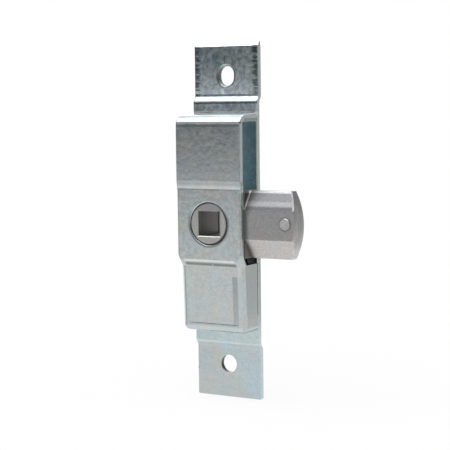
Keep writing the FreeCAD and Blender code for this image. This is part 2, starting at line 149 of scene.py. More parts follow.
def add_range(tree, value, low, high, to_low=0.0, to_high=1.0):
    """Value from one range to another, held at the ends."""
    wires = {"Value": value, "From Min": low, "From Max": high, "To Min": to_low, "To Max": to_high}
    return add_node(tree, "ShaderNodeMapRange", wires).outputs["Result"]


def add_mix(tree, factor, first, second, blend="MIX"):
    made = add_node(tree, "ShaderNodeMix", data_type="RGBA", blend_type=blend)
    inputs = [s for s in made.inputs if s.enabled]
    for socket, value in zip(inputs, (factor, first, second)):
        if isinstance(value, bpy.types.NodeSocket):
            tree.links.new(value, socket)
        else:
            socket.default_value = value
    return [s for s in made.outputs if s.enabled][0]


def split(tree, place):
    return add_node(tree, "ShaderNodeSeparateXYZ", {0: place}).outputs


print("helpers: add_math, add_times, add_vector, add_range, add_mix, split")

# %% [markdown]
# ## Floor and backdrop
# Metal shows what stands round it more than its own colour, so the studio matters as much
# as the material. The lock stands on a white table. The table and the world look white to
# the camera and in reflections. Close to the lock the table also takes its shadow, and
# further out it turns into the pure white of the backdrop. A curved paper sweep could do
# this too, but a mix of paint and glow needs no shape behind the lock.

# %% White of the floor
def seen_directly(tree):
    """1 for rays from the camera, from reflections and through glass."""
    path = add_node(tree, "ShaderNodeLightPath").outputs
    seen = add_math(tree, "MAXIMUM", path["Is Camera Ray"], path["Is Glossy Ray"])
    return add_math(tree, "MAXIMUM", seen, path["Is Transmission Ray"])


WHITE, PAPER = (1, 1, 1, 1), (0.9, 0.9, 0.9, 1)
SHADOW_NEAR, SHADOW_FAR = 0.05, 0.2
GLOW_NEAR, GLOW_FAR = 0.9, 1.0

floor_material = bpy.data.materials.new("floor_white")
floor_material.use_nodes = True
tree = floor_material.node_tree
tree.nodes.clear()
spot = add_node(tree, "ShaderNodeTexCoord").outputs["Object"]
from_lock = add_vector(tree, "LENGTH", spot)["Value"]
away = add_range(tree, from_lock, SHADOW_NEAR, SHADOW_FAR, GLOW_NEAR, GLOW_FAR)
share = add_times(tree, seen_directly(tree), away)
paint = add_node(tree, "ShaderNodeBsdfDiffuse", {"Color": PAPER})
glow = add_node(tree, "ShaderNodeEmission", {"Color": WHITE, "Strength": 1.0})
blend = add_node(tree, "ShaderNodeMixShader", {0: share, 1: paint.outputs[0], 2: glow.outputs[0]})
add_node(tree, "ShaderNodeOutputMaterial", {"Surface": blend.outputs[0]})
print("floor material:", len(tree.nodes), "nodes")

# %% Floor
FLOOR_SIZE = 8.0
FLOOR_Z = plate_low.z

bpy.ops.mesh.primitive_plane_add(size=FLOOR_SIZE, location=(0, 0, FLOOR_Z))
floor = bpy.context.object
floor.name = "floor"
floor.data.materials.append(floor_material)
print(f"floor {FLOOR_SIZE} m wide at {FLOOR_Z * 1000:.1f} mm")

# %% [markdown]
# ## The world
# The world lights the lock softly from all round at under half strength, and yet is pure
# white where it is seen. The same ray test as on the floor tells the two apart, so a white
# background costs no extra light on the metal.

# %% World
ROOM_STRENGTH, BACKDROP_STRENGTH = 0.45, 1.0

world = bpy.data.worlds.new("studio")
world.use_nodes = True
bpy.context.scene.world = world
tree = world.node_tree
tree.nodes.clear()
room = add_node(tree, "ShaderNodeBackground", {"Color": WHITE, "Strength": ROOM_STRENGTH})
backdrop = add_node(tree, "ShaderNodeBackground", {"Color": WHITE, "Strength": BACKDROP_STRENGTH})
wires = {0: seen_directly(tree), 1: room.outputs[0], 2: backdrop.outputs[0]}
blend = add_node(tree, "ShaderNodeMixShader", wires)
add_node(tree, "ShaderNodeOutputWorld", {"Surface": blend.outputs[0]})
print("world:", ROOM_STRENGTH, "as light,", BACKDROP_STRENGTH, "as background")

# %% [markdown]
# ## Cards for the reflections
# A photographer of metal stands black and grey cards round the object, because a bright
# room on all sides makes metal look like paper. Each card here is part of a ring about the
# lock. A standing card rises from the table and a lying one covers part of it. A card is
# extruded from a circle, and the faces outside its two azimuths are deleted.

# %% Ring of a card
RING_SIDES = 120


def add_ring_part(name, start, stop, near, far):
    """Ring part between two azimuths in degrees, from one (radius, height) to another."""
    centre = (0, 0, near[1])
    bpy.ops.mesh.primitive_circle_add(vertices=RING_SIDES, radius=near[0], location=centre)
    card = bpy.context.object
    card.name = name
    grow = far[0] / near[0]
    bpy.ops.object.mode_set(mode="EDIT")
    bpy.ops.mesh.select_all(action="SELECT")
    bpy.ops.mesh.extrude_region_move(TRANSFORM_OT_translate={"value": (0, 0, far[1] - near[1])})
    bpy.ops.transform.resize(value=(grow, grow, 1), center_override=(0, 0, far[1]))
    bpy.ops.mesh.select_all(action="DESELECT")
    bpy.ops.object.mode_set(mode="OBJECT")
    for polygon in card.data.polygons:
        azimuth = math.degrees(math.atan2(polygon.center.x, -polygon.center.y))
        polygon.select = not start <= azimuth <= stop
    bpy.ops.object.mode_set(mode="EDIT")
    bpy.ops.mesh.delete(type="FACE")
    bpy.ops.object.mode_set(mode="OBJECT")
    return card


print("a card is part of a ring of", RING_SIDES, "faces")

# %% [markdown]
# A real card is lit by the lamps. This one glows in its own shade instead, so that it reads
# the same in every reflection. It is seen by reflections only: it casts no shadow and never
# shows in the picture.

# %% One card
def add_card(name, start, stop, shade, near, far):
    material = bpy.data.materials.new(name)
    material.use_nodes = True
    card_tree = material.node_tree
    card_tree.nodes.clear()
    light = add_node(card_tree, "ShaderNodeEmission", {"Color": (*shade, 1), "Strength": 1.0})
    add_node(card_tree, "ShaderNodeOutputMaterial", {"Surface": light.outputs[0]})
    card = add_ring_part(name, start, stop, near, far)
    card.data.materials.append(material)
    card.visible_camera = False
    card.visible_diffuse = False
    card.visible_shadow = False
    card.visible_transmission = False
    print(f"{name}: {start} to {stop} degrees")


print("helpers: add_ring_part, add_card")

# %% [markdown]
# Dark cards in front give the upper panel its depth, a dim one beside the camera keeps the
# case's front even, grey ones on the right light the side of the spring box, and a bright
# window stands at the left rear. Radii and heights are in metres, and the two cards that
# lie down are a millimetre above the table, so that the two surfaces don't fight.

# %% Cards
MAT_Z = FLOOR_Z + mm(1)
DARK = (0.035, 0.04, 0.045)
DUSK = (0.19, 0.195, 0.2)
DIM = (0.38, 0.39, 0.39)
MID = (0.40, 0.40, 0.40)
MAT = (0.5, 0.5, 0.5)
GREY = (0.62, 0.63, 0.63)
WINDOW = (1.6, 1.62, 1.65)
LIGHT = (1.75, 1.75, 1.75)

CARDS = (
    ("room_front", -115, 100, DARK, (1.6, FLOOR_Z), (1.6, 0.14)),
    ("room_front_high", -115, 100, DUSK, (1.6, 0.14), (1.6, 0.82)),
    ("light_front", -64, -20, LIGHT, (1.6, 0.82), (1.2, 2.2)),
    ("room_camera", 2, 74, DIM, (0.55, FLOOR_Z), (0.55, 0.24)),
    ("wall_right", 100, 180, GREY, (1.5, FLOOR_Z), (1.5, 0.32)),
    ("wall_right_high", 100, 180, MID, (1.5, 0.32), (1.5, 0.75)),
    ("mat_right", 100, 180, GREY, (0.16, MAT_Z), (1.5, MAT_Z)),
    ("mat_left", -60, -42, MAT, (0.09, MAT_Z), (1.5, MAT_Z)),
    ("window_left", -180, -118, WINDOW, (1.5, 0.0), (1.5, 0.9)),
)
for card in CARDS:
    add_card(*card)

# %% [markdown]
# ## Soft light
# One large softbox hangs over the lock and gives the white bands on every bend that faces
# up. It is set so that a plain grey card beside the lock would come out at its own grey. A
# small lamp or a sun would draw hard bright lines on metal, and this picture has none.

# %% Lamp
def add_softbox(name, place, size, watts):
    data = bpy.data.lights.new(name, "AREA")
    data.shape = "RECTANGLE"
    data.size, data.size_y = size
    data.energy = watts
    lamp = bpy.data.objects.new(name, data)
    lamp.location = place
    lamp.rotation_euler = (-Vector(place)).to_track_quat("-Z", "Y").to_euler()
    bpy.context.collection.objects.link(lamp)
    print(f"{name}: {size[0]} by {size[1]} m, {watts} W")


add_softbox("softbox_top", (-0.1, -0.3, 1.1), (1.2, 0.8), 11)

# %% [markdown]
# ## Building blocks for the metals
# The finishes share four effects, each a node group: clouds of tint, the relief of the
# skin, streaks drawn out in one direction, and a soft-sided box that says where a local
# mark lies. A group hands out colours, masks or heights, and never a shader.

# %% Group helpers
VECTOR, COLOR, FLOAT = "NodeSocketVector", "NodeSocketColor", "NodeSocketFloat"


def new_group(name, inputs, outputs):
    """New node group, and the sockets it is given inside."""
    group = bpy.data.node_groups.new(name, "ShaderNodeTree")
    for label, kind in inputs:
        group.interface.new_socket(label, in_out="INPUT", socket_type=kind)
    for label, kind in outputs:
        group.interface.new_socket(label, in_out="OUTPUT", socket_type=kind)
    print(f"group {name}: {len(inputs)} inputs, {len(outputs)} outputs")
    return group, add_node(group, "NodeGroupInput").outputs


def use_group(tree, group, wires):
    made = add_node(tree, "ShaderNodeGroup", node_tree=group)
    wire(tree, made, wires)
    return made.outputs


def add_noise(tree, place, scale, **settings):
    """Noise texture at a place; settings are its other inputs by name."""
    return add_node(tree, "ShaderNodeTexNoise", {"Vector": place, "Scale": scale, **settings})


print("helpers: new_group, use_group, add_noise")

# %% [markdown]
# ### Clouds of tint
# Plated metal drifts slowly between a cool and a warm tint. Two broad noises, the second
# moved well away from the first so that they don't line up, lay the two tints over a base.
# One noise through a colour ramp would also drift, but warm would then always border cool.

# %% Group: clouds of tint
clouds, given = new_group(
    "tint_clouds",
    (("Place", VECTOR), ("Base", COLOR), ("Cool", COLOR), ("Warm", COLOR), ("Size", FLOAT),
     ("Amount", FLOAT)),
    (("Color", COLOR), ("Mask", FLOAT)),
)
place, scale, amount = given["Place"], given["Size"], given["Amount"]
broad = add_noise(clouds, place, scale, Detail=4.0, Roughness=0.55, Distortion=0.6)
shifted = add_vector(clouds, "ADD", place, (37.0, 11.0, 5.0))["Vector"]
other = add_noise(clouds, shifted, scale, Detail=3.0, Roughness=0.6)
cool = add_times(clouds, add_range(clouds, broad.outputs["Fac"], 0.42, 0.66), amount)
warm = add_times(clouds, add_range(clouds, other.outputs["Fac"], 0.45, 0.68), amount)
cooled = add_mix(clouds, cool, given["Base"], given["Cool"])
warmed = add_mix(clouds, warm, cooled, given["Warm"])
add_node(clouds, "NodeGroupOutput", {"Color": warmed, "Mask": broad.outputs["Fac"]})

# %% [markdown]
# ### Relief of the skin
# Rolled sheet is slightly wavy, and plating and casting are grained. One noise makes the
# waves and a finer one the grain, and their sum is the height for a Bump node. Relief this
# fine could be real geometry, but bump bends the reflections as well and costs no faces.

# %% Group: surface relief
relief, given = new_group(
    "metal_relief",
    (("Place", VECTOR), ("Wave Size", FLOAT), ("Wave Height", FLOAT), ("Grain Size", FLOAT),
     ("Grain Height", FLOAT)),
    (("Height", FLOAT), ("Wave", FLOAT), ("Grain", FLOAT)),
)
wave = add_noise(relief, given["Place"], given["Wave Size"], Detail=1.0, Roughness=0.4)
grain = add_noise(relief, given["Place"], given["Grain Size"], Detail=3.0, Roughness=0.6)
wave_height = add_times(relief, wave.outputs["Fac"], given["Wave Height"])
grain_height = add_times(relief, grain.outputs["Fac"], given["Grain Height"])
total = add_math(relief, "ADD", wave_height, grain_height)
add_node(relief, "NodeGroupOutput",
         {"Height": total, "Wave": wave.outputs["Fac"], "Grain": grain.outputs["Fac"]})

# %% [markdown]
# ### Streaks
# Shearing and grinding leave marks that run one way. A noise whose place is multiplied by
# a different number along each axis is drawn out along the axis with the smallest number.

# %% Group: streaks
streaks, given = new_group("streaks", (("Place", VECTOR), ("Stretch", VECTOR)), (("Mask", FLOAT),))
drawn = add_vector(streaks, "MULTIPLY", given["Place"], given["Stretch"])["Vector"]
lines = add_noise(streaks, drawn, 1.0, Detail=2.0, Roughness=0.5, Distortion=0.3)
add_node(streaks, "NodeGroupOutput", {"Mask": add_range(streaks, lines.outputs["Fac"], 0.4, 0.62)})

# %% [markdown]
# ### A soft box
# Wear, dirt, painted light and painted shade sit in places that can be measured, so they are
# marked by boxes given by two corners. The distance to the nearest side, divided by a softness,
# is the mask: it is 0 outside, rises over the softness, and is 1 within. A thin box never
# reaches 1, because the nearest side is always close. Painted masks would need an unwrapped
# mesh, and a box needs only numbers off a ruler.

# %% Group: soft box
soft_box, given = new_group(
    "soft_box",
    (("Place", VECTOR), ("Low", VECTOR), ("High", VECTOR), ("Soft", FLOAT)),
    (("Mask", FLOAT),),
)
above = add_vector(soft_box, "SUBTRACT", given["Place"], given["Low"])["Vector"]
below = add_vector(soft_box, "SUBTRACT", given["High"], given["Place"])["Vector"]
inside = split(soft_box, add_vector(soft_box, "MINIMUM", above, below)["Vector"])
nearest = add_math(soft_box, "MINIMUM", inside[0], inside[1])
nearest = add_math(soft_box, "MINIMUM", nearest, inside[2])
mask = add_math(soft_box, "DIVIDE", nearest, given["Soft"], clamp=True)
add_node(soft_box, "NodeGroupOutput", {"Mask": mask})

# %% [markdown]
# ## Starting and finishing a metal
# Each metal starts from the place on its object in millimetres, and ends in one Principled
# shader with Metallic at 1. Object coordinates are used because they stay on the piece when
# it moves. Every slot of a CAD node gets the new material.

# %% Metal helpers
def start_material(name):
    """New empty material, and the place on its object in millimetres."""
    material = bpy.data.materials.new(name)
    material.use_nodes = True
    made = material.node_tree
    made.nodes.clear()
    spot = add_node(made, "ShaderNodeTexCoord").outputs["Object"]
    place = add_node(made, "ShaderNodeMapping", {"Vector": spot, "Scale": (1000, 1000, 1000)})
    return material, made, place.outputs["Vector"]


def finish_metal(made, color, rough, height, depth):
    bump_wires = {"Strength": 1.0, "Distance": mm(depth), "Height": height}
    bump = add_node(made, "ShaderNodeBump", bump_wires)
    skin_wires = {"Base Color": color, "Metallic": 1.0, "Roughness": rough, "Normal": bump.outputs[0]}
    skin = add_node(made, "ShaderNodeBsdfPrincipled", skin_wires)
    add_node(made, "ShaderNodeOutputMaterial", {"Surface": skin.outputs[0]})


def dress(node, material):
    for slot in node.material_slots:
        slot.material = material
    if not node.material_slots:
        node.data.materials.append(material)
    print(f"{node.name}: {material.name}, {len(material.node_tree.nodes)} nodes")


print("helpers: start_material, finish_metal, dress")

# %% [markdown]
# ## Placing a mark
# A region is a soft box on the metal, a round mask is a cylinder that runs from front to
# back, and a tone multiplies the colour where a mask is 1. Marks only multiply, so their
# order doesn't matter. A table of them is laid on row by row: what it is, its two corners,
# its softness, and how light it makes the metal. Each box node is labelled with what it
# marks, so it can be found in the shader editor.

# %% Mark helpers
def region(tree, place, low, high, soft):
    wires = {"Place": place, "Low": low, "High": high, "Soft": soft}
    return use_group(tree, soft_box, wires)["Mask"]


def round_mask(tree, place, centre, radius, soft):
    flat = add_vector(tree, "MULTIPLY", place, (1.0, 0.0, 1.0))["Vector"]
    spread = add_vector(tree, "DISTANCE", flat, (centre[0], 0.0, centre[1]))["Value"]
    return add_range(tree, spread, radius, radius - soft, 0.0, 1.0)


def tone(tree, color, mask, level):
    """Colour times a level, or times a colour, where the mask is 1."""
    factor = level if isinstance(level, tuple) else (level, level, level)
    return add_mix(tree, mask, color, (*factor, 1), "MULTIPLY")


def paint_marks(tree, place, color, marks):
    for what, low, high, soft, level in marks:
        mask = region(tree, place, low, high, soft)
        mask.node.label = what
        color = tone(tree, color, mask, level)
    return color


print("helpers: region, round_mask, tone, paint_marks")

# %% [markdown]
# ## Zinc plating
# The plate and the case are sheet steel with a thin zinc plating. Seen close, plating is
# not one grey: it drifts between blue, green and a warm tint where the passivation is
# thicker, it is slightly wavy where the sheet was rolled, and it carries fine specks. It
# could be an image wrapped round the sheet, but noise in millimetres keeps one scale on both
# pieces. Each piece then has marks of its own. The upper lug is also bowed by a hair, so
# that its foot mirrors the table, and that goes into the height with the rest.

# %% Plating material
ZINC_TINT = {
    "Base": (0.505, 0.55, 0.54, 1), "Cool": (0.47, 0.55, 0.60, 1), "Warm": (0.56, 0.55, 0.51, 1),
    "Size": 0.13, "Amount": 0.6,
}
ZINC_SKIN = {"Wave Size": 0.55, "Wave Height": 1.0, "Grain Size": 1.5, "Grain Height": 0.12}
ZINC_DEPTH = 0.025
LUG_FOOT = 45.5


def plating(name, shift, marks, bow=0.0):
    material, made, place = start_material(name)
    moved = add_vector(made, "ADD", place, shift)["Vector"]
    tint = use_group(made, clouds, {"Place": moved, **ZINC_TINT})
    skin = use_group(made, relief, {"Place": moved, **ZINC_SKIN})
    mottle = add_range(made, skin["Grain"], 0.33, 0.67, 0.94, 1.05)
    color = marks(made, place, add_mix(made, 1.0, tint["Color"], mottle, "MULTIPLY"))
    rough = add_range(made, skin["Wave"], 0.35, 0.65, 0.21, 0.27)
    down = add_range(made, split(made, place)["Z"], plate_top, LUG_FOOT)
    bowed = add_times(made, add_times(made, down, down), -bow)
    height = add_math(made, "ADD", skin["Height"], bowed)
    finish_metal(made, color, rough, height, ZINC_DEPTH)
    return material


print("zinc: relief of", ZINC_DEPTH, "mm")

# %% [markdown]
# ## Marks on the plate
# Some marks are dirt or wear, such as the cloud, the scratch and the smear on the upper lug
# and the nick at the foot. Others are painted light and shade: painted shade at the foot of the
# upper joggle, painted highlights on the lower joggle and on the strip above the case, and
# painted light inside the case, tinted blue, and in the gap under the blade. Corners that have
# to pass the plate's edge are written well past it.

# %% Table of the plate's marks
# painted light with a blue tint, laid over the shaded inside of the case
INSIDE_PAINTED_LIGHT = (1.22, 1.42, 1.54)
RIGHT, LEFT = half_width, -half_width
PLATE_MARKS = (
    ("right cut edge", (RIGHT - 0.1, -4, -70), (RIGHT + 1, 1, 36), 0.05, (1.08, 1.08, 1.06)),
    ("left cut edge", (LEFT - 1, -4, -70), (LEFT + 0.1, 1, 36), 0.05, (1.08, 1.08, 1.06)),
    ("upper lug", (-20, -6, 38), (20, -1.7, 70), 0.1, (1.0, 1.04, 1.1)),
    ("lug's right side", (RIGHT - 2.9, -4, 44.8), (RIGHT + 1, -1.3, 61.5), 0.7, (0.9, 0.94, 0.88)),
    ("cloud", (-6.8, -5, 54.6), (-0.5, -0.4, 61.0), 1.6, (0.7, 0.8, 0.78)),
    ("scratch", (-0.8, -3, 56.2), (-0.1, -1.75, 59.0), 0.25, 0.6),
    ("smear", (-2.6, -3, 45.1), (-0.5, -1.4, 47.8), 0.6, (1.5, 1.5, 1.45)),
    # painted shade that ends the bright reflection at the foot of the upper joggle
    ("foot of upper joggle", (-20, -3.7, 42.0), (20, -2.6, 43.35), 0.15, (0.4, 0.43, 0.45)),
    ("strip below the case", (-20, -5, -44.6), (20, 1, -36), 0.4, (1.04, 1.12, 1.14)),
    # painted highlight on the lower joggle
    ("lower joggle", (-20, -4, -44.7), (20, -1, -43.5), 0.5, 1.12),
    # painted light on the strip of plate just above the case
    ("strip above the case", (-20, -4, case_top - 1.5), (20, -2.8, case_top + 0.75), 0.3,
     (2.0, 2.05, 2.05)),
    # painted light with a blue tint on the plate inside the case
    ("inside the case", (-12.6, -3.6, -17), (12.6, -3.0, 36), 0.1, INSIDE_PAINTED_LIGHT),
    # painted light in the shaded gap under the blade
    ("gap under the blade", (-12.6, -3.6, -17), (12.6, -3.0, -12), 0.3, (1.6, 1.25, 1.05)),
    ("nick", (LEFT - 1, -4, -54.9), (LEFT + 0.6, 0, -53.9), 0.3, 0.3),
)
print(len(PLATE_MARKS), "marks on the plate")

# %% [markdown]
# ### Torn bands of the upper lug
# The shears tore the two sides of the upper lug. The tear is a comb of dark teeth with
# light gaps, wider where it went deeper. Streaks across the band make the comb, and they
# also move the band's inner side in and out. The place is folded onto one side first, so
# that one mask serves left and right.

# %% Torn bands
TORN_DARK, TORN_LIGHT = (0.17, 0.18, 0.2, 1), (1.1, 1.1, 1.1, 1)


def tear_sides(tree, place, color):
    parts = split(tree, place)
    across = add_math(tree, "ABSOLUTE", parts["X"])
    folded_wires = {"X": across, "Y": parts["Y"], "Z": parts["Z"]}
    folded = add_node(tree, "ShaderNodeCombineXYZ", folded_wires).outputs[0]
    comb = use_group(tree, streaks, {"Place": place, "Stretch": (0.1, 0.6, 1.1)})["Mask"]
    torn = add_math(tree, "SUBTRACT", across, add_times(tree, comb, 0.8))
    low, high = (RIGHT - 3.4, -2.2, 44.8), (RIGHT, -1.8, plate_top)
    band = region(tree, folded, low, high, 0.25)
    band = add_times(tree, band, add_range(tree, torn, RIGHT - 2.9, RIGHT - 1.7))
    shade = add_mix(tree, add_range(tree, comb, 0.5, 1.0), TORN_DARK, TORN_LIGHT)
    return add_mix(tree, band, color, add_mix(tree, 1.0, color, shade, "MULTIPLY"))


print("torn bands run from", round(RIGHT - 3.4, 1), "to", round(RIGHT, 1), "mm")

# %% [markdown]
# ### Bloom, blue corner and painted shade in the holes
# The upper lug has a mottled bloom of zinc, the lower lug turns blue towards its right
# corner along a slanting line, and the walls of the two holes get painted shade, since they
# see nothing but each other. The slanting line is a dot product, which measures how far a
# place lies along a direction.

# %% All marks of the plate
UPPER_HOLE, UPPER_REACH = (0, 52.0), 4.15
LOWER_HOLE, LOWER_REACH = (0, -52.0), 3.6
SLANT = (0.815, 0.0, 0.578)


def bloom_and_blue(tree, place, color):
    lug = region(tree, place, (-20, -6, 38), (20, -1.7, 70), 0.1)
    bloom = use_group(tree, streaks, {"Place": place, "Stretch": (0.7, 0.7, 0.5)})["Mask"]
    color = tone(tree, color, add_times(tree, bloom, lug), 1.3)
    slant = add_vector(tree, "DOT_PRODUCT", place, SLANT)["Value"]
    foot = region(tree, place, (-20, -4, -70), (20, 1, -44.5), 0.4)
    blue = add_times(tree, add_range(tree, slant, -30.6, -27.6), foot)
    return tone(tree, color, blue, (0.97, 1.05, 1.12))


# painted shade on the walls of the two holes
def shade_hole_walls(tree, place, color):
    lower = region(tree, place, (-5, -1.9, -70), (5, 1, -40), 0.1)
    wall = add_times(tree, round_mask(tree, place, LOWER_HOLE, LOWER_REACH, 0.1), lower)
    color = tone(tree, color, wall, 0.16)
    upper = region(tree, place, (-5, -2.3, 40), (5, 1, 70), 0.1)
    wall = add_times(tree, round_mask(tree, place, UPPER_HOLE, UPPER_REACH, 0.3), upper)
    return tone(tree, color, wall, 0.36)


def plate_marks(tree, place, color):
    color = paint_marks(tree, place, color, PLATE_MARKS)
    color = tear_sides(tree, place, color)
    return shade_hole_walls(tree, place, bloom_and_blue(tree, place, color))


LUG_BOW = 16.0
dress(nodes["back_plate"], plating("plating_back_plate", (0, 0, 0), plate_marks, bow=LUG_BOW))

# %% [markdown]
# ## Marks on the case
# Light and shade are painted along the bends: a painted highlight band above the crease with a
# thin painted shade line below, a painted highlight line and a painted shade line at the step,
# painted shade at the foot of the dish and a painted highlight on the rim of the foot. The
# other bends and cut edges get painted highlights, the top wall painted light, and the inside
# painted light with a blue tint. The rolled edge of the hub's hole gets painted shade below,
# where it would mirror the table.

# %% Table of the case's marks
CASE_MARKS = (
    # painted light with a blue tint inside the case, stronger below the bolt
    ("inside", (-12.9, -12.75, -13.0), (12.9, -3, 36.2), 0.1, INSIDE_PAINTED_LIGHT),
    ("inside, below the bolt", (-12.0, -10.6, -37), (12.0, -3, -12.5), 0.1, (1.6, 1.7, 1.6)),
    # painted shade at the foot of the upper panel, painted light fading above the crease, and a
    # painted highlight line and a painted shade line at the crease
    ("foot of the upper panel", (-20, -16, 13.2), (20, -13, 15.4), 0.8, 0.78),
    ("fade above the crease", (-20, -16, 14.4), (20, -13, 18.5), 1.6, 1.1),
    ("light line of the crease", (-20, -16, 12.4), (20, -13, 13.3), 0.5, 1.1),
    ("dark line of the crease", (-20, -16, 11.7), (20, -13, 12.45), 0.3, 0.8),
    # a painted highlight line and a painted shade line at the step, and painted shade at the foot of
    # the dish
    ("light line of the step", (-10.6, -16, -13.7), (10.4, -11, -12.6), 0.3, 1.32),
    ("dark line of the step", (-10.6, -16, -15.3), (10.8, -11, -13.7), 0.5, 0.45),
    ("foot of the dish", (-10.3, -16, -36.6), (10.3, -11, -35.7), 0.4, 0.8),
    # painted highlights on the right bend under the step and on the cut edge beside the hub
    ("right bend under the step", (10.3, -16, -19.0), (12.1, -11, -14.6), 0.7, 1.12),
    ("cut edge beside the hub", (13.17, -15.6, -13.4), (13.6, -12.4, 12.2), 0.01, 1.7),
    # painted shade at the foot of the top bend and on the top's cut edge, and painted light on the
    # top wall, less towards its front
    ("foot of the top bend", (-20, -16, 35.3), (20, -14, 35.85), 0.12, 0.27),
    ("cut edge of the top", (12.9, -12, 36.0), (13.6, -3.2, 37.15), 0.15, (0.57, 0.69, 0.7)),
    ("top wall", (-20, -14.2, 37.75), (13.1, -3.0, 39.5), 0.12, (1.75, 1.76, 1.76)),
    ("front of the top wall", (-20, -14.2, 37.75), (13.1, -9.6, 39.5), 0.8, (0.84, 0.85, 0.85)),
    # painted highlights on the left bend of the box and on the rim of the foot
    ("left bend of the box", (-13.6, -13.0, -36.0), (-11.7, -11.5, -16.0), 0.4, 1.3),
    ("rim of the foot", (-12.5, -16, -38.6), (11.8, -11, -36.6), 0.5, 1.14),
    ("seam with the plate", (12.9, -3.9, -33.0), (13.6, -3.0, -13.0), 0.2, 0.45),
)
print(len(CASE_MARKS), "marks on the case")

# %% [markdown]
# The case is plated like the plate, but its clouds are shifted, so that the two sheets
# don't carry the same pattern where they meet.

# %% All marks of the case
AXIS = (0, 0)
LIP_RADIUS = 8.7


def case_marks(tree, place, color):
    color = paint_marks(tree, place, color, CASE_MARKS)
    # painted shade on the lower side of the rolled edge round the hub's hole, where it would mirror
    # the table
    low_side = region(tree, place, (-14, -19, -14), (14, -9, 5), 3.0)
    lip_shade = add_times(tree, round_mask(tree, place, AXIS, LIP_RADIUS, 0.45), low_side)
    return tone(tree, color, lip_shade, 0.6)


CASE_SHIFT = (80, 20, 40)
dress(nodes["case"], plating("plating_case", CASE_SHIFT, case_marks))

# %% [markdown]
# ## The cast bolt
# The bolt is an iron casting with a bloom of plating over it, warmer and duller than the
# sheet, and its skin is grained by the sand of the mould. Its hub is the part that the key
# turns. The hub's face is bright from turning, with a ring of painted shade for the dark gap
# round it, and painted shade darkens the socket. The bolt is one casting, so it stays one
# material with marks, where a second material for the hub would show a hard seam.

# %% Marks on the hub
FACE_RADIUS, SHINE_RADIUS = 8.0, 7.1
HUB_MARKS = (
    ("top of the face", (-6.4, hub_face - 1, 4.5), (6.4, hub_face + 1, 7.6), 0.3,
     (0.82, 0.8, 0.84)),
    # painted shade inside the socket
    ("painted shade in the socket", (-4.45, hub_face + 0.25, -4.45), (4.45, 1, 4.45), 0.05,
     (0.4, 0.4, 0.37)),
    ("right edge of the mouth", (4.2, hub_face - 0.5, -4.2), (5.0, hub_face + 0.4, 5.0), 0.05,
     0.75),
)


def mark_hub(tree, place, color):
    front = region(tree, place, (-9, hub_face - 1, -9), (9, hub_face + 2, 9), 0.05)
    face = add_times(tree, round_mask(tree, place, AXIS, FACE_RADIUS, 0.05), front)
    color = tone(tree, color, face, (1.26, 1.3, 1.25))
    middle = round_mask(tree, place, AXIS, SHINE_RADIUS, 0.08)
    # painted shade: a dark ring at the edge of the hub's face stands for the gap round it
    rim = add_math(tree, "SUBTRACT", face, middle, clamp=True)
    color = tone(tree, color, rim, 0.22)
    return paint_marks(tree, place, color, HUB_MARKS)


print(len(HUB_MARKS) + 2, "marks on the hub")

# %% [markdown]
# ### Root of the blade
# A painted shadow of the case's edge lies where the blade leaves the case, lighter on the
# upper bevel. Its border leans outward towards both bevels, because the blade is cut back
# there, and a painted highlight, a thin line of caught light, runs up through it on the
# upper bevel.

# %% Marks at the root of the blade
FLAT_HALF = 5.1
LEAN = 0.1185
CATCH_LIGHT_X = 13.45


def mark_root(tree, place, color, blade_front):
    parts = split(tree, place)
    tall = add_math(tree, "ABSOLUTE", parts["Z"])
    beyond = add_math(tree, "MAXIMUM", add_math(tree, "SUBTRACT", tall, FLAT_HALF), 0.0)
    lean = add_math(tree, "SUBTRACT", parts["X"], add_times(tree, beyond, LEAN))
    reach = add_range(tree, parts["Z"], 3.0, 8.0, 15.4, 18.0)
    # painted shadow of the case's edge where the blade leaves the case, lighter on the upper bevel
    case_edge_shadow = add_times(tree, add_range(tree, lean, reach, 14.0), blade_front)
    color = tone(tree, color, case_edge_shadow, (0.42, 0.42, 0.4))
    wedge = add_times(tree, case_edge_shadow, add_range(tree, parts["Z"], 5.0, 6.0))
    color = tone(tree, color, wedge, (1.55, 1.45, 1.4))
    # painted highlight: a thin line of caught light up the upper bevel
    off = add_math(tree, "ABSOLUTE", add_math(tree, "SUBTRACT", lean, CATCH_LIGHT_X))
    on_bevel = add_range(tree, parts["Z"], 5.1, 5.5)
    seam = add_times(tree, add_range(tree, off, 0.26, 0.14), on_bevel)
    return tone(tree, color, seam, 3.4)


print("flat of the blade:", FLAT_HALF * 2, "mm high")

# %% [markdown]
# ### Blade and nose
# The blade has a flat between two bevels, and bands of painted highlight and painted shade
# stand in for the way each bevel catches the light. The nose beyond them is curved, and its
# border is an arc: the place along X, plus a little for the square of the height. The nose has
# a painted gradient of light, lighter towards its foot, and drawn streaks of painted shade.

# %% Marks on the blade
BLADE_START = half_width + 0.2
NOSE_CURVE = 0.02
# bands of painted shade and painted highlight on the bevels
PAINTED_BEVEL_BANDS = (
    (FLAT_HALF, 12.2, 0.1, (0.56, 0.59, 0.62)),
    (FLAT_HALF - 0.2, FLAT_HALF + 1.5, 0.5, 0.6),
    (FLAT_HALF + 1.3, FLAT_HALF + 3.4, 0.6, 1.36),
    (11.0, 12.3, 0.12, 2.2),
    (-12.2, -FLAT_HALF, 0.1, (1.4, 1.38, 1.36)),
)


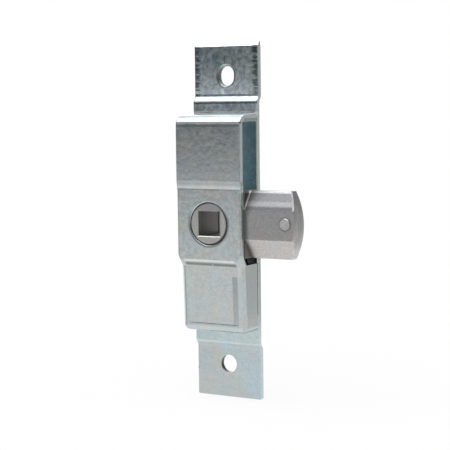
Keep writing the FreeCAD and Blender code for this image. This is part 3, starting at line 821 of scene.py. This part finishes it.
def mark_blade(tree, place, color, blade_front):
    parts = split(tree, place)
    tall = add_math(tree, "ABSOLUTE", parts["Z"])
    curve = add_times(tree, add_times(tree, tall, tall), NOSE_CURVE)
    arc = add_math(tree, "ADD", parts["X"], curve)
    nose = add_times(tree, add_range(tree, arc, nose_tip - 0.75, nose_tip - 0.6), blade_front)
    blade = add_math(tree, "SUBTRACT", blade_front, nose, clamp=True)
    for low, high, soft, level in PAINTED_BEVEL_BANDS:
        band = region(tree, place, (BLADE_START, -14, low), (nose_tip, -8, high), soft)
        color = tone(tree, color, add_times(tree, band, blade), level)
    # painted gradient of light on the nose, lighter towards its foot
    nose_light = add_range(tree, parts["Z"], -10.0, 9.0, 1.62, 0.78)
    color = add_mix(tree, nose, color, add_mix(tree, 1.0, color, nose_light, "MULTIPLY"))
    # streaks of painted shade on the nose
    drawn = use_group(tree, streaks, {"Place": place, "Stretch": (2.4, 0.5, 0.1)})["Mask"]
    return tone(tree, color, add_times(tree, nose, drawn), 0.8)


print(len(PAINTED_BEVEL_BANDS), "bands on the blade")

# %% [markdown]
# ### The cast boss
# A small round boss near the nose is what is left of the pin that pushed the casting out of
# its mould. Its top is made lighter, and a fine ring of painted shadow lies round it.

# %% All marks of the bolt
BOSS_CENTRE, BOSS_RADIUS = (29.4, 0.6), 2.1


def mark_boss(tree, place, color):
    front = region(tree, place, (BOSS_RADIUS * 2, -14, -12), (nose_tip + 1, -12.7, 12), 0.05)
    disc = add_times(tree, round_mask(tree, place, BOSS_CENTRE, BOSS_RADIUS, 0.4), front)
    color = tone(tree, color, disc, 1.38)
    # painted shadow in a fine ring round the boss
    ring = add_times(tree, round_mask(tree, place, BOSS_CENTRE, BOSS_RADIUS + 0.6, 0.4), front)
    return tone(tree, color, add_math(tree, "SUBTRACT", ring, disc, clamp=True), 0.72)


def bolt_marks(tree, place, color):
    low, high = (BLADE_START - 2, -14, -13), (nose_tip + 1, -2, 13)
    blade_front = region(tree, place, low, high, 0.1)
    color = mark_hub(tree, place, color)
    color = mark_root(tree, place, color, blade_front)
    color = mark_blade(tree, place, color, blade_front)
    return mark_boss(tree, place, color)


print("boss at", BOSS_CENTRE, "mm")

# %% [markdown]
# ### The casting itself
# The grain does most of the work: it speckles the colour, roughens the skin and stands in
# relief. On the hub's face alone, fine rings of the lathe are added to the height, as a
# sine of the distance from the axis. A wave texture makes rings too, but the sine needs
# only that distance, and RING_DENSITY is its radians to the millimetre.

# %% Casting material
IRON_TINT = {
    "Base": (0.45, 0.44, 0.435, 1), "Cool": (0.43, 0.435, 0.455, 1), "Warm": (0.47, 0.445, 0.43, 1),
    "Size": 0.1, "Amount": 0.6,
}
IRON_SKIN = {"Wave Size": 0.5, "Wave Height": 0.5, "Grain Size": 2.0, "Grain Height": 1.0}
IRON_DEPTH = 0.03
RING_DENSITY, RING_HEIGHT = 9.0, 0.12

material, made, place = start_material("casting_bolt")
tint = use_group(made, clouds, {"Place": place, **IRON_TINT})
skin = use_group(made, relief, {"Place": place, **IRON_SKIN})
speckle = add_range(made, skin["Grain"], 0.3, 0.7, 0.78, 1.14)
color = bolt_marks(made, place, add_mix(made, 1.0, tint["Color"], speckle, "MULTIPLY"))
flat = add_vector(made, "MULTIPLY", place, (1.0, 0.0, 1.0))["Vector"]
radius = add_vector(made, "LENGTH", flat)["Value"]
rings = add_math(made, "SINE", add_times(made, radius, RING_DENSITY))
low, high = (-7.5, hub_face - 1, -7.5), (7.5, hub_face + 0.02, 7.5)
turned = add_times(made, region(made, place, low, high, 0.01), RING_HEIGHT)
height = add_math(made, "ADD", skin["Height"], add_times(made, rings, turned))
rough = add_range(made, skin["Grain"], 0.3, 0.7, 0.38, 0.48)
finish_metal(made, color, rough, height, IRON_DEPTH)
dress(nodes["bolt"], material)

# %% [markdown]
# ## The bow spring
# The spring sits in the dark foot of the case and holds the bolt at each quarter turn. It
# is tempered strip, nearly black with oil, so it takes the same two groups with darker
# tints, a finer grain and hardly any waves.

# %% Spring material
SPRING_TINT = {
    "Base": (0.20, 0.21, 0.24, 1), "Cool": (0.14, 0.17, 0.24, 1), "Warm": (0.24, 0.20, 0.17, 1),
    "Size": 0.2, "Amount": 0.6,
}
SPRING_SKIN = {"Wave Size": 0.5, "Wave Height": 0.3, "Grain Size": 4.0, "Grain Height": 0.2}
SPRING_DEPTH = 0.01

material, made, place = start_material("tempered_strip")
tint = use_group(made, clouds, {"Place": place, **SPRING_TINT})
skin = use_group(made, relief, {"Place": place, **SPRING_SKIN})
rough = add_range(made, tint["Mask"], 0.35, 0.65, 0.3, 0.42)
finish_metal(made, tint["Color"], rough, skin["Height"], SPRING_DEPTH)
dress(nodes["detent_spring"], material)

# %% [markdown]
# ## Small leftovers of the making
# Three tiny things are too small for the CAD model and yet show as shapes: a burr, a bead
# and a rim. Each starts from a primitive at its size and place, is shaped in edit mode, and
# has its place applied to its mesh. Then it is handed to the body that carries it.

# %% Piece helpers
def settle_piece(name):
    """Names the new piece and moves its place into its mesh."""
    piece = bpy.context.object
    piece.name = name
    bpy.ops.object.transform_apply(location=True, rotation=True, scale=True)
    return piece


def cut_away(place, normal):
    """Cuts off what lies past a plane, on the side of its normal, and closes the cut."""
    bpy.ops.object.mode_set(mode="EDIT")
    bpy.ops.mesh.select_all(action="SELECT")
    bpy.ops.mesh.bisect(plane_co=place, plane_no=normal, use_fill=True, clear_outer=True,
                        threshold=mm(0.001))
    bpy.ops.object.mode_set(mode="OBJECT")


def hand_over(piece, body, material):
    piece.data.materials.append(material)
    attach(piece, body)
    print(piece.name, len(piece.data.polygons), "faces on", body)


zinc = nodes["back_plate"].data.materials[0]
iron = nodes["bolt"].data.materials[0]
bpy.ops.object.select_all(action="DESELECT")
print("leftovers take", zinc.name, "and", iron.name)

# %% [markdown]
# ### The burr
# The shears left a sliver that stands up at the rear corner of the plate. It is a narrow
# five-sided cone, sunk a little into the plate, with its top drawn out to a leaning point.
# It could be placed point by point, but a cone has the taper already.

# %% Burr
BURR_PLACE = (mm(12.95), mm(-0.42), mm(plate_top + 0.3))

bpy.ops.mesh.primitive_cone_add(vertices=5, radius1=mm(0.38), radius2=mm(0.2), depth=mm(1.2),
                                location=BURR_PLACE)
bpy.context.object.scale = (0.8, 1.0, 1.0)
burr = settle_piece("burr")
bpy.ops.object.mode_set(mode="EDIT")
bpy.ops.mesh.select_mode(type="FACE")
bpy.ops.mesh.select_all(action="DESELECT")
bpy.ops.object.mode_set(mode="OBJECT")
for face in burr.data.polygons:
    face.select = face.normal.z > 0.9
bpy.ops.object.mode_set(mode="EDIT")
tip = (mm(13.0), mm(-0.42), mm(plate_top + 1.2))
bpy.ops.mesh.extrude_region_move(TRANSFORM_OT_translate={"value": (mm(0.05), 0, mm(0.3))})
bpy.ops.transform.resize(value=(0.4, 0.4, 1), center_override=tip)
bpy.ops.object.mode_set(mode="OBJECT")
hand_over(burr, "lock_body", zinc)

# %% [markdown]
# ### The bead
# A drop of zinc froze on the step of the case as it left the plating bath. It is a smooth
# egg, cut flat at the back, where it is sunk into the step. Bump can't make it, because it
# stands out far enough to show a side of its own.

# %% Bead
BEAD_PLACE = (mm(0.85), mm(-13.8), mm(-14.5))

bpy.ops.mesh.primitive_uv_sphere_add(segments=24, ring_count=14, radius=mm(1), location=BEAD_PLACE)
bpy.context.object.scale = (0.5, 0.4, 0.4)
bpy.ops.object.shade_smooth()
bead = settle_piece("bead")
cut_away((0, mm(-13.6), 0), (0, 1, 0))
hand_over(bead, "lock_body", zinc)

# %% [markdown]
# ### The broached rim
# The broach that cut the square socket pushed up a thin rim where it came out at the back
# of the bolt. It could be swept along a square path, but a torus with four corners is a
# square ring already. It is cut off flat inside the bolt and stays clear of the key's way.

# %% Broached rim
bpy.ops.mesh.primitive_torus_add(major_segments=4, minor_segments=12, major_radius=mm(6.45),
                                 minor_radius=mm(0.64), location=(0, mm(-0.6), 0),
                                 rotation=(math.pi / 2, math.pi / 4, 0))
bpy.context.object.scale = (1.0, 1.0, 0.9)
rim = settle_piece("broached_rim")
cut_away((0, mm(-1.04), 0), (0, -1, 0))
hand_over(rim, "bolt", iron)
